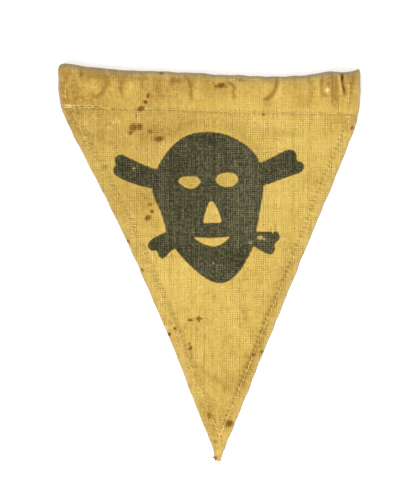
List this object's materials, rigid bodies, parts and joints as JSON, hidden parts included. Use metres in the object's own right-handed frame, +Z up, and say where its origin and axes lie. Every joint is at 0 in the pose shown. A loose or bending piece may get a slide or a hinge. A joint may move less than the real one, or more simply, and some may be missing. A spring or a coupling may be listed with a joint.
{
  "type": "triangular marker flag",
  "caption": "Triangular cloth marker flag lying flat, face up, with turned side hems and an open pole sleeve folded and stitched across its wide top edge, stained and worn.",
  "frame": {"origin": "under the middle of the flag's outline, on the surface that it lies on", "axes": "+X runs along the pole sleeve, +Y from the tip to the sleeve, +Z up out of the printed face"},
  "size_m": [0.1984, 0.2598, 0.0104],
  "materials": {
    "yellow_cloth": "matt plain weave of coarse cotton or linen, aged yellow with brown stains and a dark grey-green stencil print",
    "sewing_thread": "pale twisted cotton thread"
  },
  "bodies": {
    "root": {"pennant_cloth": "yellow_cloth"}
  },
  "joints": []
}
